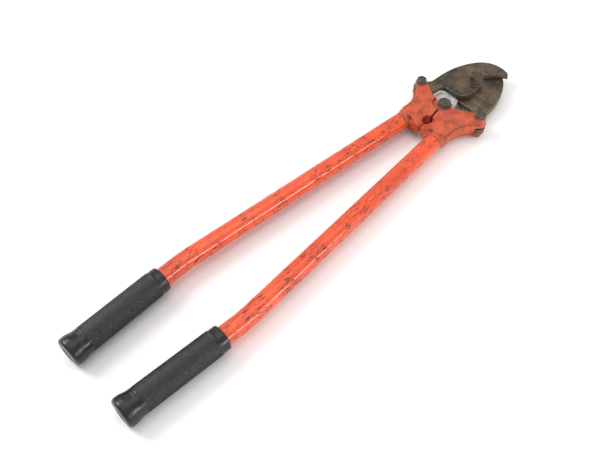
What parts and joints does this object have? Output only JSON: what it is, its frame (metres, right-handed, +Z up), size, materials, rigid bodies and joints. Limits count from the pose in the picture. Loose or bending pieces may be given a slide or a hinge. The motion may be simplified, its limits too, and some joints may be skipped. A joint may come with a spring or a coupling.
{
  "type": "two-handed cable cutter",
  "caption": "Long-handled compound cutter: two hooked, crossing shear blades on one pivot, driven by cast heads on bent steel tube handles with knurled rubber grips.",
  "frame": {"origin": "on the handle pivot's axis, at the underside of its nut and bolt end, which is level with the surface the closed tool lies on", "axes": "+X from the handles to the blades along the middle of the tool, +Y to the left handle, +Z up"},
  "size_m": [0.8073, 0.1564, 0.0453],
  "materials": {
    "casting_paint": "worn red-orange paint on a rough casting",
    "tube_paint": "glossy red-orange paint with chips along its length",
    "blade_steel": "dark oxidised tool steel, rubbed brown",
    "plate_steel": "bright worn steel",
    "bush_steel": "oiled turned steel",
    "fasteners": "dull oiled steel with grime",
    "grip_rubber": "black moulded rubber with a fine diamond knurl"
  },
  "bodies": {
    "handle_right": {"casting_right": "casting_paint", "tube_right": "tube_paint", "grip_right": "grip_rubber", "tube_pin_right": "fasteners", "link_right_bolt": "fasteners", "link_right_washer": "fasteners", "link_right_nut": "fasteners", "handle_pivot_bolt": "fasteners", "handle_pivot_washer": "fasteners", "handle_pivot_nut": "fasteners", "handle_pivot_bush": "bush_steel"},
    "handle_left": {"casting_left": "casting_paint", "tube_left": "tube_paint", "grip_left": "grip_rubber", "tube_pin_left": "fasteners", "link_left_bolt": "fasteners", "link_left_washer": "fasteners", "link_left_nut": "fasteners"},
    "blade_lower": {"blade_lower": "blade_steel", "blade_pivot_bush": "bush_steel", "blade_pivot_bolt": "fasteners", "blade_pivot_washer": "fasteners", "blade_pivot_nut": "fasteners"},
    "blade_upper": {"blade_upper": "blade_steel"},
    "centre_plate": {"centre_plate": "plate_steel"}
  },
  "joints": [
    {"name": "handle_opening", "type": "hinge", "parent": "handle_right", "child": "handle_left", "pos_m": [0, 0, 0.0202], "axis": [0, 0, -1], "range_deg": [0, 120]},
    {"name": "lower_blade_swing", "type": "hinge", "parent": "handle_right", "child": "blade_lower", "pos_m": [0.0145, -0.058, 0.0202], "axis": [0, 0, -1], "range_deg": [0, 90]},
    {"name": "upper_blade_swing", "type": "hinge", "parent": "blade_lower", "child": "blade_upper", "pos_m": [0.083, 0, 0.0202], "axis": [0, 0, 1], "range_deg": [0, 60]},
    {"name": "centre_plate_turn", "type": "hinge", "parent": "handle_right", "child": "centre_plate", "pos_m": [0, 0, 0.0202], "axis": [0, 0, -1], "range_deg": [0, 60.5]}
  ],
  "couplings": [
    {"joint": "lower_blade_swing", "follows": "handle_opening", "ratio": 0.7475},
    {"joint": "upper_blade_swing", "follows": "handle_opening", "ratio": 0.495},
    {"joint": "centre_plate_turn", "follows": "handle_opening", "ratio": 0.5}
  ]
}
